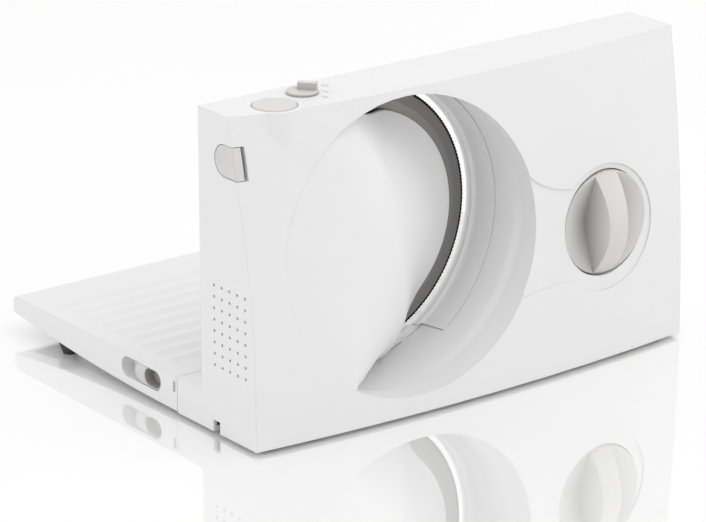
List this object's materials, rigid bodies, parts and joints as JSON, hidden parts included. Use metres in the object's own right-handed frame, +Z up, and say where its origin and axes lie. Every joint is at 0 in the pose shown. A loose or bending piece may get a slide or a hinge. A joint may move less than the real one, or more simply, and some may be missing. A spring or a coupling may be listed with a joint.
{
  "type": "food slicer",
  "caption": "Folding electric food slicer: a white wall with a round serrated blade, a slice outlet, a thickness knob and a ribbed table that folds up.",
  "frame": {"origin": "middle of the footprint, on the ground under the feet", "axes": "+X along the wall towards the knob end, +Y towards the folding table where the food lies, +Z up"},
  "size_m": [0.33, 0.277, 0.206],
  "materials": {
    "white_plastic": "satin",
    "grey_plastic": "satin",
    "natural_plastic": "matt",
    "black_plastic": "matt",
    "blade_steel": "ground",
    "bright_steel": "bright",
    "bush_brass": "plain",
    "foot_rubber": "matt"
  },
  "bodies": {
    "housing": {"main_housing": "white_plastic", "rear_panel": "white_plastic", "base_plate": "white_plastic", "bearing_bush": "bush_brass", "motor": "bright_steel", "worm_bearing": "bush_brass", "motor_bracket_left": "natural_plastic", "motor_bracket_right": "natural_plastic", "guide_rod_upper": "bright_steel", "guide_rod_lower": "bright_steel", "power_spring": "bright_steel", "power_switch": "black_plastic", "selector_switch": "black_plastic", "hinge_pin_left": "bright_steel", "hinge_pin_right": "bright_steel", "body_foot_1": "foot_rubber", "body_foot_2": "foot_rubber", "body_foot_3": "foot_rubber", "body_foot_4": "foot_rubber", "rear_screw_1": "bright_steel", "rear_screw_2": "bright_steel", "rear_screw_3": "bright_steel", "rear_screw_4": "bright_steel", "base_screw_1": "bright_steel", "base_screw_2": "bright_steel", "base_screw_3": "bright_steel", "base_screw_4": "bright_steel"},
    "table": {"folding_table": "white_plastic", "table_foot_1": "foot_rubber", "table_foot_2": "foot_rubber"},
    "slider": {"table_slider": "grey_plastic"},
    "blade_set": {"blade": "blade_steel", "blade_shaft": "bright_steel", "blade_cap": "grey_plastic", "blade_gear": "natural_plastic"},
    "motor_rotor": {"motor_shaft": "bright_steel", "worm": "bright_steel", "motor_fan": "natural_plastic"},
    "knob": {"thickness_knob": "grey_plastic", "cam_drum": "natural_plastic"},
    "stop": {"stop_plate": "white_plastic"},
    "power": {"power_button": "grey_plastic"},
    "selector": {"mode_selector": "grey_plastic"},
    "safety": {"safety_button": "grey_plastic"}
  },
  "joints": [
    {"name": "table_fold", "type": "hinge", "parent": "housing", "child": "table", "pos_m": [0, -0.0385, 0.0214], "axis": [1, 0, 0], "range_deg": [0, 90]},
    {"name": "table_slider_slide", "type": "slide", "parent": "table", "child": "slider", "axis": [0, 1, 0], "range_m": [0, 0.0128]},
    {"name": "blade_spin", "type": "hinge", "parent": "housing", "child": "blade_set", "pos_m": [-0.0536, -0.0687, 0.1073], "axis": [0, 1, 0], "continuous": true},
    {"name": "motor_spin", "type": "hinge", "parent": "housing", "child": "motor_rotor", "pos_m": [-0.0536, -0.0955, 0.0798], "axis": [1, 0, 0], "continuous": true},
    {"name": "thickness_knob_turn", "type": "hinge", "parent": "housing", "child": "knob", "pos_m": [0.0982, -0.123, 0.09], "axis": [0, 1, 0], "range_deg": [0, 270]},
    {"name": "stop_plate_slide", "type": "slide", "parent": "housing", "child": "stop", "axis": [0, -1, 0], "range_m": [0, 0.015]},
    {"name": "power_button_press", "type": "slide", "parent": "housing", "child": "power", "axis": [0, 0, -1], "range_m": [0, 0.003], "stiffness_N_per_m": 600, "springref_m": -0.003, "deforming": ["power_spring"]},
    {"name": "mode_selector_turn", "type": "hinge", "parent": "housing", "child": "selector", "pos_m": [-0.1021, -0.0835, 0.2], "axis": [0, 0, 1], "range_deg": [0, 70]},
    {"name": "safety_button_press", "type": "slide", "parent": "housing", "child": "safety", "axis": [1, 0, 0], "range_m": [0, 0.0015], "stiffness_N_per_m": 600, "springref_m": -0.003}
  ],
  "couplings": [
    {"joint": "motor_spin", "follows": "blade_spin", "ratio": -28},
    {"joint": "thickness_knob_turn", "follows": "stop_plate_slide", "rad_per_m": 314.16}
  ]
}
